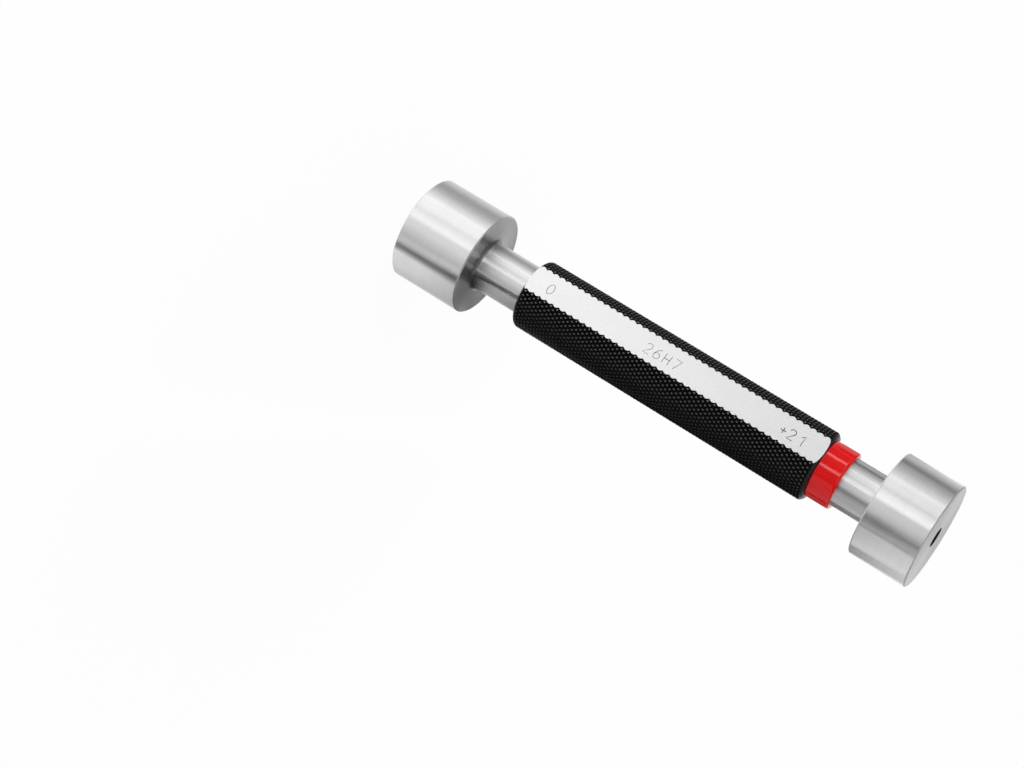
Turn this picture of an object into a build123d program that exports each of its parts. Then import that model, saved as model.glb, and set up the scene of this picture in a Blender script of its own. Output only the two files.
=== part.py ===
"""Go and no-go plug gauge for a 26 mm H7 bore. All sizes are in millimetres.

The gauge stands on its go end. Z runs up its axis, and the origin is the centre of the go plug's
outer face. The handle's marked flat faces -Y.
"""
from build123d import *
import math
import os

# Gauging heads. The H7 zone of a 26 mm bore is 21 micrometres wide.
nominal_bore = 26.0
bore_tolerance = 0.021
go_head_length = 18.5
no_go_head_length = 14.5
head_chamfer = 0.3

# Centre hole that each plug is turned and ground on
centre_pilot_diameter = 2.5
centre_mouth_diameter = 5.0
centre_cone_angle = 60.0
centre_hole_depth = 4.2

# Necks, and the shanks that go into the handle
neck_diameter = 12.3
go_neck_length = 13.5
no_go_neck_length = 15.0
neck_fillet = 1.0
shank_diameter = 10.0
shank_length = 16.0
shank_chamfer = 0.5

# Handle
handle_diameter = 17.6
handle_length = 80.5
handle_across_flats = 15.7
handle_end_round = 1.5
bond_gap = 0.02
bore_end_gap = 1.5
bore_mouth_chamfer = 0.4
drill_point_angle = 118.0

# Marker ring on the no-go neck
ring_length = 6.0
ring_wall = 1.05
ring_gap = 0.05
ring_head_side_chamfer = 0.5
ring_handle_side_chamfer = 0.15

# Stations along the axis, from the go plug's outer face upwards
handle_start = go_head_length + go_neck_length
handle_end = handle_start + handle_length
gauge_length = handle_end + no_go_neck_length + no_go_head_length


def turned(*corners):
    """One solid of revolution about Z, from the (radius, height) corners of its half section."""
    section = make_face(Polyline(*corners, close=True))
    return revolve(Plane.XZ * section, axis=Axis.Z)


def drill_tip(radius):
    """Length of the cone that a drill of this radius leaves at the bottom of a hole."""
    return radius / math.tan(math.radians(drill_point_angle / 2))


def plug(head_diameter, head_length, neck_length):
    """A plug with its outer face on Z = 0 and its shank pointing up, all one turned piece.

    Two cones stand for the round fillet between the head and its neck.
    """
    head = head_diameter / 2
    pilot = centre_pilot_diameter / 2
    mouth = centre_mouth_diameter / 2
    cone_depth = (mouth - pilot) / math.tan(math.radians(centre_cone_angle / 2))
    neck = neck_diameter / 2
    fillet_middle = neck_fillet * (1 - math.cos(math.radians(45)))
    shank = shank_diameter / 2
    shoulder = head_length + neck_length
    shank_end = shoulder + shank_length
    return turned(
        (0, centre_hole_depth + drill_tip(pilot)),
        (pilot, centre_hole_depth),
        (pilot, cone_depth),
        (mouth, 0),
        (head - head_chamfer, 0),
        (head, head_chamfer),
        (head, head_length - head_chamfer),
        (head - head_chamfer, head_length),
        (neck + neck_fillet, head_length),
        (neck + fillet_middle, head_length + fillet_middle),
        (neck, head_length + neck_fillet),
        (neck, shoulder),
        (shank, shoulder),
        (shank, shank_end - shank_chamfer),
        (shank - shank_chamfer, shank_end),
        (0, shank_end),
    )


def go_plug():
    return plug(nominal_bore, go_head_length, go_neck_length)


def no_go_plug():
    """The same form with the shorter, larger head, turned over onto the handle's upper end."""
    upright = plug(nominal_bore + bore_tolerance, no_go_head_length, no_go_neck_length)
    return Pos(0, 0, gauge_length) * Rot(X=180) * upright


def shank_bore():
    """The blind hole for one shank, as a solid with its mouth on Z = 0."""
    bore = shank_diameter / 2 + bond_gap
    bore_depth = shank_length + bore_end_gap
    return turned(
        (0, 0),
        (bore + bore_mouth_chamfer, 0),
        (bore, bore_mouth_chamfer),
        (bore, bore_depth),
        (0, bore_depth + drill_tip(bore)),
    )


def handle():
    """Round bar with rounded ends, a blind bore in each end, and two opposite flats."""
    middle = Pos(0, 0, (handle_start + handle_end) / 2)
    bar = middle * Cylinder(handle_diameter / 2, handle_length)
    bar = fillet(bar.edges().filter_by(GeomType.CIRCLE), handle_end_round)
    bar -= Pos(0, 0, handle_start) * shank_bore()
    bar -= Pos(0, 0, handle_end) * Rot(X=180) * shank_bore()
    between_flats = Box(2 * handle_diameter, handle_across_flats, 2 * handle_length)
    return bar & middle * between_flats


def marker_ring():
    """Plastic ring round the no-go neck, seated on the handle's end."""
    inner = neck_diameter / 2 + ring_gap
    outer = inner + ring_wall
    ring = turned(
        (inner, 0),
        (outer - ring_handle_side_chamfer, 0),
        (outer, ring_handle_side_chamfer),
        (outer, ring_length - ring_head_side_chamfer),
        (outer - ring_head_side_chamfer, ring_length),
        (inner, ring_length),
    )
    return Pos(0, 0, handle_end) * ring


pieces = {
    "go_plug": go_plug(),
    "handle": handle(),
    "marker_ring": marker_ring(),
    "no_go_plug": no_go_plug(),
}

os.makedirs("parts", exist_ok=True)
for name, piece in pieces.items():
    export_step(piece, f"parts/{name}.step")
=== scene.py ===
"""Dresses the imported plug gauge: a knurled handle with ground flats, two steel plugs and a marker ring.

All sizes are in metres. The gauge stands on its go end, with its axis on Z and its marks facing -Y.
"""
import math

import bmesh
import bpy
from mathutils import Matrix, Vector


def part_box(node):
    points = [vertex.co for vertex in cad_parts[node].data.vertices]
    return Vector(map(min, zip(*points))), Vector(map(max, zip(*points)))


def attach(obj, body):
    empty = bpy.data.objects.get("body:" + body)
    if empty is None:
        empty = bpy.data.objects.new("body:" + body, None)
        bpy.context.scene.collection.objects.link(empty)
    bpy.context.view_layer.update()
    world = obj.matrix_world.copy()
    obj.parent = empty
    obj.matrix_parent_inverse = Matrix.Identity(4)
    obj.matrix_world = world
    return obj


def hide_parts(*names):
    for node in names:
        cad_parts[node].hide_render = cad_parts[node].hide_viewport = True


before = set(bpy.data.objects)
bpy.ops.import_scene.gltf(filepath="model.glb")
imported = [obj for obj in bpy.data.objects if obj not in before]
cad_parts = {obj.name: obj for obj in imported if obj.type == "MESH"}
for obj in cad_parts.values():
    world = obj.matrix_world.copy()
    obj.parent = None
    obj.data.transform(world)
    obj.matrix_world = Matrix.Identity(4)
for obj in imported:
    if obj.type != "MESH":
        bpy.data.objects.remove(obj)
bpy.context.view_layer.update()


# Handle: a round bar of tool steel. Two knurling wheels roll a diamond pattern into it, its ends are
# turned round and bored for the plugs' shanks, and it is blackened. Last, two opposite sides are
# ground flat and bright, and the size marks are engraved in one of them.
handle_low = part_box("handle")[0].z
handle_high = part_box("handle")[1].z
handle_middle = (handle_low + handle_high) / 2
handle_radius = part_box("handle")[1].x
handle_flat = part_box("handle")[1].y
handle_end_round = 0.0015
blank_allowance = 0.00005
blank_radius = handle_radius + blank_allowance
end_face_radius = blank_radius - handle_end_round
knurl_starts = 49
knurl_columns = 2 * knurl_starts
knurl_row = 0.000905
knurl_rows = 2 * math.ceil((handle_high - handle_low) / knurl_row / 2) + 2
knurl_depth = 0.0003
knurl_land = 0.28
knurl_turn = 0.5
bore_radius = 0.00502
bore_mouth = 0.0004
bore_depth = 0.0175
bore_tip = 0.00302
round_segments = 192
same_height = 1e-7
flat_tolerance = 5e-6
flat_normal = 0.999
round_tolerance = 2e-5


class Value:
    """A shader socket with a number on it. Arithmetic with it adds Math nodes to the same material."""

    def __init__(self, finish, socket):
        self.finish = finish
        self.socket = socket

    def math(self, operation, *others):
        settings = {"operation": operation}
        values = dict(enumerate((self, *others)))
        return Value(self.finish, self.finish.node("Math", settings, values).outputs[0])

    def __add__(self, other):
        return self.math("ADD", other)

    def __mul__(self, other):
        return self.math("MULTIPLY", other)

    def __sub__(self, other):
        return self.math("SUBTRACT", other)

    def __rsub__(self, other):
        return (self * -1.0) + other

    __radd__ = __add__
    __rmul__ = __mul__


class Finish:
    """A material, or the world, and the nodes that give it its look."""

    def __init__(self, owner):
        owner.use_nodes = True
        self.owner = owner
        self.tree = owner.node_tree
        self.tree.nodes.clear()

    def node(self, kind, settings, sockets):
        """Adds a node, sets its settings first, and then sets or links its sockets."""
        made = self.tree.nodes.new("ShaderNode" + kind)
        for name, value in settings.items():
            if name == "stops":
                ramp = made.color_ramp.elements
                ramp.remove(ramp[1])
                for place, level in value[1:]:
                    ramp.new(place)
                for stop, (place, level) in zip(ramp, value):
                    stop.position = place
                    stop.color = (level, level, level, 1)
            else:
                setattr(made, name, value)
        for name, value in sockets.items():
            if isinstance(value, Value):
                self.tree.links.new(value.socket, made.inputs[name])
            elif isinstance(value, bpy.types.NodeSocket):
                self.tree.links.new(value, made.inputs[name])
            else:
                made.inputs[name].default_value = value
        return made

    def place(self):
        """The object coordinates x, y and z, as values."""
        where = self.node("TexCoord", {}, {}).outputs["Object"]
        parts = self.node("SeparateXYZ", {}, {"Vector": where}).outputs
        return [Value(self, part) for part in parts]

    def noise(self, x, y, z):
        """Noise between 0 and 1 at a point whose coordinates are given in noise cells."""
        point = self.node("CombineXYZ", {}, {"X": x, "Y": y, "Z": z}).outputs[0]
        cells = self.node("TexNoise", {}, {"Vector": point, "Scale": 1.0, "Detail": 2.0})
        return Value(self, cells.outputs["Fac"])

    def step(self, value, low, high):
        """0 where value is at or below low, 1 where it is at or above high, smooth between."""
        settings = {"interpolation_type": "SMOOTHSTEP"}
        sockets = {"Value": value, "From Min": low, "From Max": high}
        return Value(self, self.node("MapRange", settings, sockets).outputs["Result"])

    def colour(self, dark, light, share):
        """The colour that lies between dark and light by share."""
        settings = {"data_type": "RGBA"}
        # A Mix node's colours are its inputs 6 and 7, and the mixed colour is its output 2.
        sockets = {"Factor": share, 6: (*dark, 1), 7: (*light, 1)}
        return self.node("Mix", settings, sockets).outputs[2]

    def bump(self, height, distance, strength):
        """A normal for relief of that height in metres where the value is 1."""
        sockets = {"Height": height, "Distance": distance, "Strength": strength}
        return self.node("Bump", {}, sockets).outputs["Normal"]

    def surface(self, kind, sockets):
        """Puts a shader on the output."""
        shader = self.node(kind, {}, sockets)
        output = "OutputWorld" if kind == "Background" else "OutputMaterial"
        self.node(output, {}, {"Surface": shader.outputs[0]})
        return self.owner


def from_axis(x, y):
    """The distance from the gauge's axis, as a value."""
    return (x * x + y * y).math("SQRT")


def grey(level):
    """A neutral colour."""
    return (level, level, level)


def start_bar(name, radius, low, high, vertices=round_segments):
    """Adds a round bar on the axis between two heights and opens it in edit mode."""
    if bpy.context.mode != "OBJECT":
        bpy.ops.object.mode_set(mode="OBJECT")
    bpy.ops.object.select_all(action="DESELECT")
    bpy.ops.mesh.primitive_cylinder_add(
        vertices=vertices, radius=radius, depth=high - low, location=(0, 0, (low + high) / 2)
    )
    bpy.ops.object.transform_apply(location=True)
    bar = bpy.context.object
    bar.name = name
    bar.data.name = name
    bpy.ops.object.mode_set(mode="EDIT")
    bpy.ops.mesh.select_mode(type="VERT")
    return bar


def pick(piece, kind, wanted):
    """Selects only those verts, edges or faces of the open piece that wanted accepts."""
    bpy.ops.mesh.select_all(action="DESELECT")
    mesh = bmesh.from_edit_mesh(piece.data)
    for element in getattr(mesh, kind):
        if wanted(element):
            element.select_set(True)
    bmesh.update_edit_mesh(piece.data)


def pick_end(piece, height):
    """Selects the end face at that height."""
    pick(piece, "faces", lambda face: all(abs(v.co.z - height) < same_height for v in face.verts))


def rise(edge):
    """How much higher one end of an edge is than the other."""
    return abs(edge.verts[0].co.z - edge.verts[1].co.z)


def turn(*stations):
    """Takes the selected end face through (radius, height) stations, as a lathe tool would cut them."""
    for (radius, height), (next_radius, next_height) in zip(stations, stations[1:]):
        move = {"value": (0, 0, next_height - height)}
        bpy.ops.mesh.extrude_region_move(TRANSFORM_OT_translate=move)
        if next_radius == 0:
            bpy.ops.mesh.merge(type="CENTER")
        elif next_radius != radius:
            change = next_radius / radius
            bpy.ops.transform.resize(value=(change, change, 1), center_override=(0, 0, 0))


def rounding(centre, radius, start, end, steps=8):
    """Stations along an arc round a (radius, height) centre, with the angles in degrees."""
    angles = (math.radians(start + (end - start) * i / steps) for i in range(steps + 1))
    return [(centre[0] + radius * math.cos(a), centre[1] + radius * math.sin(a)) for a in angles]


def close_piece(piece, sharp_degrees):
    """Leaves edit mode and smooths the faces that meet at less than that angle."""
    bpy.ops.mesh.select_all(action="SELECT")
    bpy.ops.mesh.normals_make_consistent(inside=False)
    bpy.ops.object.mode_set(mode="OBJECT")
    bpy.ops.object.shade_smooth_by_angle(angle=math.radians(sharp_degrees))


def cut(piece, tool, operation, self_crossing=False):
    """Applies a boolean with the tool to the piece, and removes the tool."""
    bpy.ops.object.select_all(action="DESELECT")
    piece.select_set(True)
    bpy.context.view_layer.objects.active = piece
    boolean = piece.modifiers.new("cut", "BOOLEAN")
    boolean.operation = operation
    boolean.solver = "EXACT"
    boolean.use_self = self_crossing
    boolean.object = tool
    bpy.ops.object.modifier_apply(modifier=boolean.name)
    bpy.data.objects.remove(tool)


def knurled_bar():
    """The bar as it leaves the knurling wheels, longer than the handle at both ends."""
    groove_radius = handle_radius - knurl_depth
    sharp_radius = groove_radius + knurl_depth / (1 - knurl_land)
    half = knurl_rows * knurl_row / 2
    low = handle_middle - half
    bar = start_bar("knurled_handle", groove_radius, low, handle_middle + half, knurl_columns)
    pick(bar, "edges", lambda edge: rise(edge) > knurl_row)
    bpy.ops.mesh.subdivide(number_cuts=knurl_rows - 1)
    bpy.ops.mesh.select_all(action="SELECT")
    phase = knurl_turn * math.tau / knurl_columns
    bpy.ops.transform.rotate(value=-phase, orient_axis="Z", center_override=(0, 0, 0))

    def row(vertex):
        return round((vertex.co.z - low) / knurl_row)

    def crest(vertex):
        column = round(math.atan2(vertex.co.x, vertex.co.y) / math.tau * knurl_columns + knurl_turn)
        return (column + row(vertex)) % 2 == 1

    pick(bar, "verts", crest)
    grow = sharp_radius / groove_radius
    bpy.ops.transform.resize(value=(grow, grow, 1), center_override=(0, 0, 0))
    pick(bar, "faces", lambda face: len(face.verts) == 4)
    bpy.ops.mesh.quads_convert_to_tris(quad_method="SHORTEST_DIAGONAL")
    pick(bar, "verts", lambda vertex: crest(vertex) and 0 < row(vertex) < knurl_rows)
    bpy.ops.mesh.bevel(offset_type="PERCENT", offset_pct=100 * knurl_land, affect="VERTICES")
    bpy.ops.object.mode_set(mode="OBJECT")
    return bar


def turned_blank():
    """The handle's turned form, with round ends and a blind bore in each, and its two flats."""
    blank = start_bar("handle_blank", blank_radius, handle_low, handle_high)
    pick(blank, "edges", lambda edge: rise(edge) < same_height)
    bpy.ops.mesh.bevel(offset=handle_end_round, segments=8, affect="EDGES")
    mouth_radius = bore_radius + bore_mouth
    for end, inwards in ((handle_low, 1), (handle_high, -1)):
        pick_end(blank, end)
        turn(
            (end_face_radius, end),
            (mouth_radius, end),
            (bore_radius, end + inwards * bore_mouth),
            (bore_radius, end + inwards * bore_depth),
            (0, end + inwards * (bore_depth + bore_tip)),
        )
    for side in (-1, 1):
        bpy.ops.mesh.select_all(action="SELECT")
        flat = {"plane_co": (0, side * handle_flat, 0), "plane_no": (0, side, 0)}
        bpy.ops.mesh.bisect(**flat, use_fill=True, clear_outer=True, threshold=same_height)
    bpy.ops.object.mode_set(mode="OBJECT")
    return blank


def arc(centre, reach, start, end, points=12):
    """Points of an elliptical arc, from the start angle to the end angle in degrees."""
    angles = (math.radians(start + (end - start) * i / points) for i in range(points + 1))
    return [(centre[0] + reach[0] * math.cos(a), centre[1] + reach[1] * math.sin(a)) for a in angles]


# Each mark is a list of strokes, and a stroke is a line of (across, up) points, with the mark's
# height as their unit. The marks' places are heights on the gauge.
mark_height = 0.0027
mark_shift = 0.0004
mark_line = 0.00008
bold_line = mark_line * 1.5
mark_deepest = 0.00012
mark_strip = 0.0017
mark_strokes = {
    "0": [arc((0, 0.5), (0.29, 0.5), 0, 360, 28)[:-1] + [(0.29, 0.5)]],
    "1": [[(-0.2, 0.74), (0.06, 1), (0.06, 0)]],
    "2": [arc((0, 0.73), (0.27, 0.27), 165, -35, 14) + [(-0.28, 0), (0.3, 0)]],
    "6": [
        [(0.2, 1)] + arc((0.22, 0.3), (0.5, 0.62), 115, 180, 8),
        arc((0, 0.29), (0.28, 0.29), 0, 360, 22),
    ],
    "7": [[(-0.27, 1), (0.29, 1), (-0.1, 0)]],
    "H": [[(-0.27, 0), (-0.27, 1)], [(0.27, 0), (0.27, 1)], [(-0.27, 0.5), (0.27, 0.5)]],
    "+": [[(-0.26, 0.45), (0.26, 0.45)], [(0, 0.17), (0, 0.73)]],
}
marks = (
    ("0", (0.038,), mark_line),
    ("26H7", (0.0654, 0.06795, 0.0705, 0.0731), mark_line),
    ("+21", (0.10195, 0.10405, 0.1069), bold_line),
)


def engrave(piece, text, places, line):
    """Cuts single-line marks into the front flat. They read upwards, with their tops towards -X."""
    lines = bpy.data.curves.new("marks", "CURVE")
    lines.dimensions = "3D"
    lines.bevel_depth = line
    lines.bevel_resolution = 1
    lines.use_fill_caps = True
    for letter, middle in zip(text, places):
        for stroke in mark_strokes[letter]:
            spline = lines.splines.new("POLY")
            spline.points.add(len(stroke) - 1)
            for point, (across, up) in zip(spline.points, stroke):
                x = (0.5 - up) * mark_height + mark_shift
                point.co = (x, -handle_flat, middle + across * mark_height, 1)
    tool = bpy.data.objects.new("marks", lines)
    bpy.context.collection.objects.link(tool)
    bpy.ops.object.select_all(action="DESELECT")
    tool.select_set(True)
    bpy.context.view_layer.objects.active = tool
    bpy.ops.object.convert(target="MESH")
    cut(piece, bpy.context.object, "DIFFERENCE", self_crossing=True)


blank = turned_blank()
for text, places, line in marks:
    engrave(blank, text, places, line)
handle = knurled_bar()
cut(handle, blank, "INTERSECT")
bpy.ops.object.mode_set(mode="EDIT")
close_piece(handle, sharp_degrees=20)

crest_foot = handle_radius - 0.00007
crest_top = handle_radius - 0.00001
black = Finish(bpy.data.materials.new("black_oxide"))
x, y, z = black.place()
crest = black.step(from_axis(x, y), crest_foot, crest_top)
grain = black.noise(x * 3000.0, y * 3000.0, z * 3000.0)
black_oxide = black.surface(
    "BsdfPrincipled",
    {
        "Base Color": black.colour(grey(0.004), grey(0.13), crest * (0.6 + grain * 0.5)),
        "Metallic": crest,
        "Roughness": 0.22 + grain * 0.12,
        "Specular IOR Level": 0.07,
        "Normal": black.bump(grain, 0.00002, 0.3),
    },
)

bright = Finish(bpy.data.materials.new("ground_flat"))
x, y, z = bright.place()
lay = bright.noise(x * 9000.0, y * 400.0, z * 160.0)
cloud = bright.noise(x * 300.0, y * 300.0, z * 120.0)
ground_flat = bright.surface(
    "BsdfPrincipled",
    {
        "Base Color": bright.colour(grey(0.505), grey(0.54), cloud),
        "Metallic": 1.0,
        "Roughness": 0.26 + lay * 0.04,
        "Normal": bright.bump(lay, 0.000003, 0.15),
    },
)

groove = Finish(bpy.data.materials.new("engraved_line"))
x, y, z = groove.place()
grit = groove.noise(x * 12000.0, y * 12000.0, z * 12000.0)
engraved_line = groove.surface(
    "BsdfPrincipled",
    {
        "Base Color": groove.colour(grey(0.08), grey(0.20), grit),
        "Metallic": 0.6,
        "Roughness": 0.5 + grit * 0.2,
    },
)

eased = Finish(bpy.data.materials.new("black_turned"))
x, y, z = eased.place()
grain = eased.noise(from_axis(x, y) * 9000.0, z * 9000.0, x * 300.0 + y * 300.0)
black_turned = eased.surface(
    "BsdfPrincipled",
    {
        "Base Color": eased.colour(grey(0.035), grey(0.055), grain),
        "Metallic": 0.8,
        "Roughness": 0.28 + grain * 0.1,
    },
)

handle_finishes = [black_oxide, ground_flat, engraved_line, black_turned]
for finish in handle_finishes:
    handle.data.materials.append(finish)
round_height = (handle_high - handle_low) / 2 - handle_end_round
for face in handle.data.polygons:
    sideways = abs(face.normal.y) > flat_normal
    outwards = face.center.to_2d().length - end_face_radius
    upwards = abs(face.center.z - handle_middle) - round_height
    off_round = abs(math.hypot(outwards, upwards) - handle_end_round)
    if sideways and abs(abs(face.center.y) - handle_flat) < flat_tolerance:
        finish = ground_flat
        face.use_smooth = False
    elif face.center.y < mark_deepest - handle_flat and abs(face.center.x - mark_shift) < mark_strip:
        finish = engraved_line
    elif min(outwards, upwards) > 0 and off_round < round_tolerance:
        finish = black_turned
    else:
        finish = black_oxide
    face.material_index = handle_finishes.index(finish)
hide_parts("handle")
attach(handle, "root")


# Plugs: hardened tool steel, each turned with its neck and shank from one bar and ground between
# centres, so the grinding lines run round the heads and necks. The shanks are bonded into the
# handle's bores, the go plug below and the shorter no-go plug above.
go_radius = 0.013
go_head_length = 0.0185
no_go_radius = 0.0130105
no_go_head_length = 0.0145
gauge_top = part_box("no_go_plug")[1].z
head_chamfer = 0.0003
neck_radius = 0.00615
neck_fillet = 0.001
loop_gap = 0.0001
shank_radius = 0.005
shank_length = 0.016
shank_chamfer = 0.0005
centre_mouth = 0.0025
centre_pilot = 0.00125
centre_half_angle = 30
centre_cone = (centre_mouth - centre_pilot) / math.tan(math.radians(centre_half_angle))
centre_depth = 0.0042
centre_tip = 0.00075
same_place = 1e-6
level_normal = 0.99
edge_normal = 0.5
root_normal = 0.15


def steel_plug(name, head_radius, head_length, shoulder):
    """A plug that stands on its outer face, with its shank upwards."""
    plug = start_bar(name, head_radius, head_chamfer, head_length - head_chamfer)
    shank_end = shoulder + shank_length
    pick_end(plug, head_length - head_chamfer)
    turn(
        (head_radius, head_length - head_chamfer),
        (head_radius - head_chamfer, head_length),
        *rounding((neck_radius + neck_fillet, head_length + neck_fillet), neck_fillet, 270, 180),
        (neck_radius, head_length + neck_fillet + loop_gap),
        (neck_radius, shoulder),
        (shank_radius, shoulder),
        (shank_radius, shank_end - shank_chamfer),
        (shank_radius - shank_chamfer, shank_end),
    )
    pick_end(plug, head_chamfer)
    turn(
        (head_radius, head_chamfer),
        (head_radius - head_chamfer, 0),
        (centre_mouth, 0),
        (centre_pilot, centre_cone),
        (centre_pilot, centre_depth),
        (0, centre_depth + centre_tip),
    )
    close_piece(plug, sharp_degrees=25)
    return plug


def ground_steel(name, dark, light, roughness, anisotropy, metallic=1.0):
    """Bright steel whose grinding lines run round the axis, on its faces as well as its barrels."""
    steel = Finish(bpy.data.materials.new(name))
    x, y, z = steel.place()
    radius = from_axis(x, y)
    drift = x * 120.0 + y * 90.0
    fine = steel.noise(radius * 26000.0 + drift, z * 26000.0, drift)
    broad = steel.noise(radius * 2600.0, z * 2600.0 + drift * 0.3, drift * 0.2)
    return steel.surface(
        "BsdfPrincipled",
        {
            "Base Color": steel.colour(grey(dark), (light, light, light * 0.995), broad),
            "Metallic": metallic,
            "Roughness": roughness - 0.03 + fine * 0.06,
            "Anisotropic": anisotropy,
            "Anisotropic Rotation": 0.25,
            "Normal": steel.bump(fine, 0.000002, 0.3),
        },
    )


go_plug = steel_plug("go_plug_turned", go_radius, go_head_length, handle_low)
no_go_shoulder = gauge_top - handle_high
no_go_plug = steel_plug("no_go_plug_turned", no_go_radius, no_go_head_length, no_go_shoulder)
no_go_plug.rotation_euler = (math.pi, 0, 0)
no_go_plug.location = (0, 0, gauge_top)
bpy.ops.object.transform_apply(location=True, rotation=True)

barrel_steel = ground_steel("ground_barrel", 0.67, 0.76, roughness=0.34, anisotropy=1.0)
shoulder_steel = ground_steel("turned_shoulder", 0.54, 0.61, roughness=0.26, anisotropy=0.9)
end_steel = ground_steel("turned_end", 0.67, 0.76, roughness=0.34, anisotropy=0.25)
# Painted shade: both necks are ground alike, and this darker copy of the steel colour goes on the no-go
# neck alone, to darken it as if it stood in shade.
shaded_neck_steel = ground_steel("neck_steel_painted_shade", 0.59, 0.68, roughness=0.34, anisotropy=1.0)
edge_steel = ground_steel("broken_edge", 0.67, 0.76, roughness=0.45, anisotropy=0.0, metallic=0.7)
# Painted shade: a much darker steel colour for the fillets at the neck roots, where shade falls in the
# corner.
shaded_root_steel = ground_steel("root_steel_painted_shade", 0.32, 0.4, roughness=0.4, anisotropy=0.5)

# The centre holes are coloured near black all over; the noise named scale only varies that dark tone.
hole = Finish(bpy.data.materials.new("centre_hole"))
x, y, z = hole.place()
scale = hole.noise(x * 4000.0, y * 4000.0, z * 4000.0)
hole_steel = hole.surface(
    "BsdfPrincipled",
    {
        "Base Color": hole.colour(grey(0.02), grey(0.05), scale),
        "Metallic": 1.0,
        "Roughness": 0.45 + scale * 0.2,
    },
)

plug_finishes = [
    barrel_steel, shoulder_steel, end_steel, hole_steel, shaded_neck_steel, edge_steel, shaded_root_steel
]
for plug, node in ((go_plug, "go_plug"), (no_go_plug, "no_go_plug")):
    for finish in plug_finishes:
        plug.data.materials.append(finish)
    outer_end = 0.0 if plug is go_plug else gauge_top
    for face in plug.data.polygons:
        from_end = abs(face.center.z - outer_end)
        radius = face.center.to_2d().length
        lean = abs(face.normal.z)
        level = lean > level_normal
        on_neck = radius < neck_radius + neck_fillet and not level
        if from_end < same_place:
            finish = end_steel
        elif radius < centre_mouth and from_end < centre_depth + centre_tip:
            finish = hole_steel
        # Painted shade goes on the fillets at the neck roots, and on the no-go neck.
        elif on_neck and lean > root_normal:
            finish = shaded_root_steel
        # The no-go neck takes the darker copy of the steel colour, a painted shade.
        elif on_neck and plug is no_go_plug:
            finish = shaded_neck_steel
        elif lean > edge_normal and not level and not on_neck:
            finish = edge_steel
        elif level:
            finish = shoulder_steel
        else:
            finish = barrel_steel
        face.material_index = plug_finishes.index(finish)
    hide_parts(node)
    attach(plug, "root")


# Marker ring: red plastic, moulded with an eased rim. It is pushed along the no-go neck until it
# sits against the handle, and shows which end must not enter the bore.
ring_inner = 0.0062
ring_outer = 0.00725
ring_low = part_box("marker_ring")[0].z
ring_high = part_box("marker_ring")[1].z
ring_rim = 0.0005
ring_foot = 0.00015
wall_low = ring_low + ring_foot + loop_gap
wall_high = ring_high - ring_rim - loop_gap

ring = start_bar("red_ring", ring_outer, wall_low, wall_high)
pick_end(ring, wall_high)
turn(
    (ring_outer, wall_high),
    *rounding((ring_outer - ring_rim, ring_high - ring_rim), ring_rim, 0, 90),
    (ring_inner, ring_high),
)
bpy.ops.mesh.delete(type="FACE")
pick_end(ring, wall_low)
turn(
    (ring_outer, wall_low),
    *rounding((ring_outer - ring_foot, ring_low + ring_foot), ring_foot, 0, -90, steps=4),
    (ring_inner, ring_low),
)
bpy.ops.mesh.delete(type="FACE")


def on_bore_rim(edge):
    """Whether an edge runs round one of the two open ends of the ring's bore."""
    return edge.is_boundary and abs(edge.verts[0].co.to_2d().length - ring_inner) < same_place


pick(ring, "edges", on_bore_rim)
bpy.ops.mesh.bridge_edge_loops()
close_piece(ring, sharp_degrees=40)

red = Finish(bpy.data.materials.new("red_plastic"))
x, y, z = red.place()
flow = red.noise(x * 500.0, y * 500.0, z * 260.0)
pores = red.noise(x * 9000.0, y * 9000.0, z * 9000.0)
red_plastic = red.surface(
    "BsdfPrincipled",
    {
        "Base Color": red.colour((0.72, 0.001, 0.002), (0.78, 0.003, 0.004), flow),
        "Roughness": 0.07 + flow * 0.03,
        "Specular IOR Level": 0.42,
        "Normal": red.bump(flow * 0.6 + pores * 0.02, 0.00006, 0.15),
    },
)
ring.data.materials.append(red_plastic)
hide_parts("marker_ring")
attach(ring, "root")


# Studio: a plain white floor, an even white surround and a soft key lamp. A round wall of panels and
# some cards, which only reflections see, give ground steel its bands of light and dark: strips are
# bright cards, and gaps, lines, flags and shades are dim ones.
floor_size = 30.0
floor_white = 0.9
floor_shadow = 0.05
surround_level = 0.85


def looked_at(finish):
    """1 for rays that the camera sends out, straight or by way of a reflection, and 0 for others."""
    rays = finish.node("LightPath", {}, {}).outputs
    return Value(finish, rays["Is Camera Ray"]) + Value(finish, rays["Is Glossy Ray"])


bpy.ops.object.select_all(action="DESELECT")
bpy.ops.mesh.primitive_plane_add(size=floor_size)
floor = bpy.context.object
floor.name = "floor"
floor.visible_glossy = False
paint = Finish(bpy.data.materials.new("floor_white"))
matt = paint.node("BsdfDiffuse", {}, {"Color": (*grey(floor_white), 1)})
glow = paint.node("Emission", {}, {"Color": (1, 1, 1, 1), "Strength": 1.0})
share = looked_at(paint) * (1 - floor_shadow)
floor.data.materials.append(
    paint.surface("MixShader", {"Fac": share, 1: matt.outputs[0], 2: glow.outputs[0]})
)

# The wall's light at each angle round the gauge, in degrees from the front and turning towards +X.
panel_levels = {
    -90: 0.5,
    -88: 0.48,
    -69: 0.85,
    -49: 1.6,
    -31: 1.8,
    -20: 1.95,
    -3: 1.36,
    14: 1.34,
    33: 1.38,
    52: 1.03,
    62: 0.72,
    72: 0.98,
    80: 1.1,
    83: 1.75,
    96: 1.62,
    109: 1.48,
    127: 1.36,
    147: 1.1,
    167: 0.78,
    182: 1.0,
    202: 1.5,
    217: 1.25,
    235: 0.95,
    254: 0.82,
    270: 0.5,
}
brightest = 2.0
panel_radius = 2.0
panel_low = -4.0
panel_high = 2.0

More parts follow.
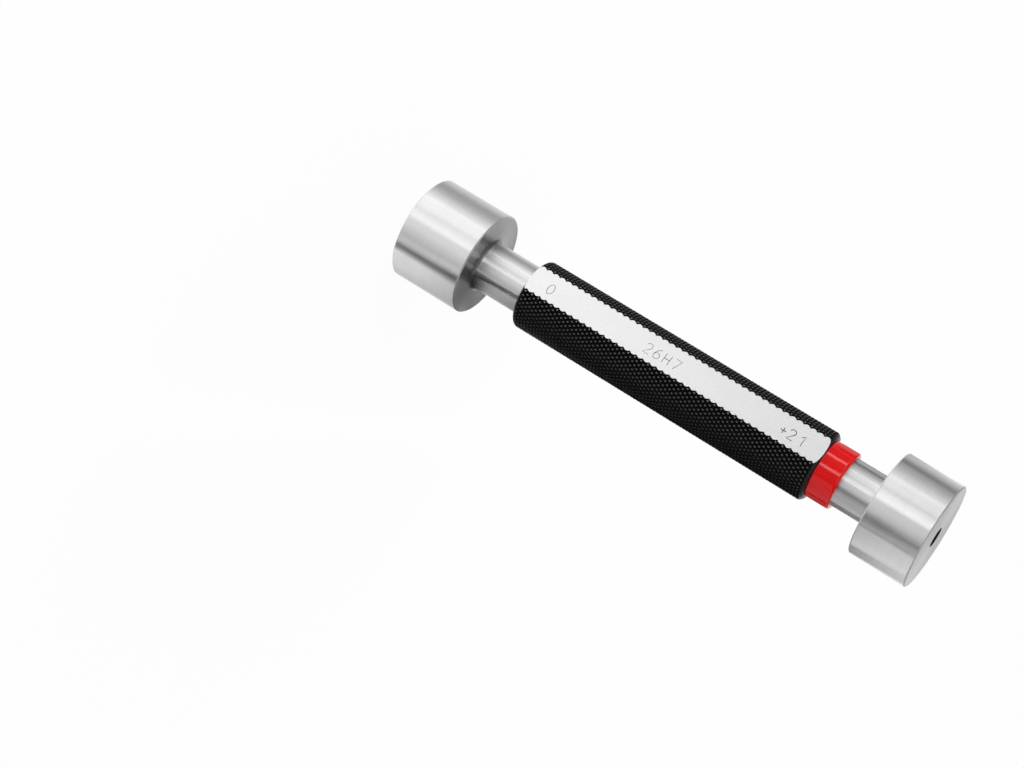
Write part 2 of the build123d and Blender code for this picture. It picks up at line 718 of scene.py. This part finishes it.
# Where the wall dims: from and to values of how far it is backward, y over its radius, and of its
# slope, z over its radius.
back_span = (-0.2, 0.6)
front_span = (-0.1, 0.5)
overhead_slopes = (0.8, 1.4)
front_slopes = (0.14, 0.26)
back_slopes = (0.08, 0.5)
band_low_slopes = (-0.17, -0.15)
band_high_slopes = (-0.065, -0.045)
front_dimming = 0.93
overhead_relief = 0.15
back_dimming = 0.8
band_dimming = 0.8


def hang(piece, light):
    """Gives a piece of the studio its light, which only reflections see."""
    light.cycles.emission_sampling = "NONE"
    piece.data.materials.append(light)
    piece.visible_camera = False
    piece.visible_diffuse = False
    piece.visible_shadow = False


panels = start_bar("soft_panels", panel_radius, panel_low, panel_high, 64)
bpy.ops.object.mode_set(mode="OBJECT")
wall = Finish(bpy.data.materials.new("panel_light"))
where = wall.node("TexCoord", {}, {}).outputs["Object"]
turned_by = wall.node("TexGradient", {"gradient_type": "RADIAL"}, {"Vector": where}).outputs["Fac"]
stops = [((degrees + 90) / 360, level / brightest) for degrees, level in panel_levels.items()]
levels = wall.node("ValToRGB", {"stops": stops}, {"Fac": turned_by}).outputs["Color"]
x, y, z = wall.place()
radius = from_axis(x, y)
slope = z.math("DIVIDE", radius)
backward = y.math("DIVIDE", radius)
rightward = x.math("DIVIDE", radius)
behind = wall.step(backward, *back_span)
overhead = wall.step(slope, *overhead_slopes)
front_dim = wall.step(slope, *front_slopes) * (front_dimming - overhead * overhead_relief)
back_dim = wall.step(slope, *back_slopes) * back_dimming
raised = front_dim * (1 - behind) + back_dim * behind
in_front = 1 - wall.step(backward - rightward * 0.5, *front_span)
band = wall.step(slope, *band_low_slopes) - wall.step(slope, *band_high_slopes)
strength = (1 - raised) * (1 - band * in_front * band_dimming) * brightest
hang(panels, wall.surface("Emission", {"Color": levels, "Strength": strength}))


def card(name, place, size, level, fade):
    """A card that only reflections see, facing the gauge.

    Its place is an angle in degrees, a distance from the axis and its middle's height. Its size is
    width and height. Its light fades out over a share of its half width, to both sides.
    """
    angle, reach, middle = place
    light = Finish(bpy.data.materials.new(name))
    where = light.node("TexCoord", {}, {}).outputs["UV"]
    across = Value(light, light.node("SeparateXYZ", {}, {"Vector": where}).outputs["X"])
    inwards = 1 - (across * 2.0 - 1.0).math("ABSOLUTE")
    strength = light.step(inwards, 0.0, fade) * level
    turned_to = math.radians(angle)
    bpy.ops.object.select_all(action="DESELECT")
    bpy.ops.mesh.primitive_plane_add(
        size=1.0,
        location=(reach * math.sin(turned_to), -reach * math.cos(turned_to), middle),
        rotation=(math.pi / 2, 0, turned_to),
    )
    made = bpy.context.object
    made.name = name
    made.scale = (*size, 1)
    bpy.ops.object.transform_apply()
    hang(made, light.surface("Emission", {"Color": (1, 1, 1, 1), "Strength": strength}))
    return made


cards = (
    card("left_strip", (-35.2, 1.9, -0.2), (0.62, 0.14), level=4.5, fade=1.0),
    card("right_strip", (12.8, 1.9, -0.2), (0.62, 0.14), level=4.5, fade=1.0),
    card("high_gap", (61.0, 1.9, -0.12), (0.15, 0.7), level=0.1, fade=0.1),
    card("high_strip", (8.5, 1.85, 0.4), (0.9, 0.6), level=2.5, fade=0.3),
    card("dark_line", (84.0, 0.0676, -0.02), (0.018, 0.12), level=0.08, fade=0.5),
    card("thin_line", (76.5, 0.067, 0.15), (0.002, 0.09), level=0.01, fade=0.5),
    card("face_flag", (196.0, 0.0354, 0.034), (0.018, 0.02), level=0.2, fade=0.2),
    card("go_neck_line", (77.1, 0.0365, 0.0225), (0.0155, 0.027), level=0.02, fade=0.5),
    card("no_go_neck_line", (56.0, 0.037, 0.1205), (0.012, 0.01), level=0.1, fade=0.5),
    card("neck_shade_right", (150.0, 0.06, 0.114), (0.04, 0.022), level=0.25, fade=0.8),
    card("neck_shade_left", (-105.0, 0.06, 0.114), (0.07, 0.022), level=0.6, fade=0.8),
    card("side_shade", (110.0, 0.06, 0.0565), (0.16, 0.113), level=0.65, fade=0.01),
)
handle_shade = card("handle_shade", (120.0, 0.055, 0.058), (0.2, 0.09), level=0.06, fade=0.01)
handle_shade.visible_diffuse = True

key = bpy.data.objects.new("key_lamp", bpy.data.lights.new("key_lamp", "AREA"))
key.data.shape = "DISK"
key.data.size = 0.9
key.data.energy = 3.0
key.location = (-0.5, -0.8, 0.9)
key.rotation_euler = (-key.location).to_track_quat("-Z", "Y").to_euler()
key.visible_glossy = False
bpy.context.collection.objects.link(key)

surround = Finish(bpy.data.worlds.new("surround"))
strength = surround_level + looked_at(surround) * (1 - surround_level)
bpy.context.scene.world = surround.surface(
    "Background", {"Color": (1, 1, 1, 1), "Strength": strength}
)


# Camera: a long lens at the photograph's angle. It looks at the standing gauge and is rolled, so that
# the gauge lies across the picture.
camera_place = Vector((0.2013, -0.43615, 0.19531))
camera_aim = Vector((0.02251, 0.0, 0.04252))
camera_roll = math.radians(-121.985)
camera = bpy.data.objects.new("camera", bpy.data.cameras.new("camera"))
bpy.context.collection.objects.link(camera)
camera.data.sensor_width = 36.0
camera.data.lens = 75.33
camera.location = camera_place
upright = (camera_aim - camera_place).to_track_quat("-Z", "Y").to_matrix()
camera.rotation_euler = (upright @ Matrix.Rotation(-camera_roll, 3, "Z")).to_euler()
camera.data.clip_start = 0.01
camera.data.clip_end = 50.0
bpy.context.scene.camera = camera
bpy.context.scene.view_settings.view_transform = "Standard"
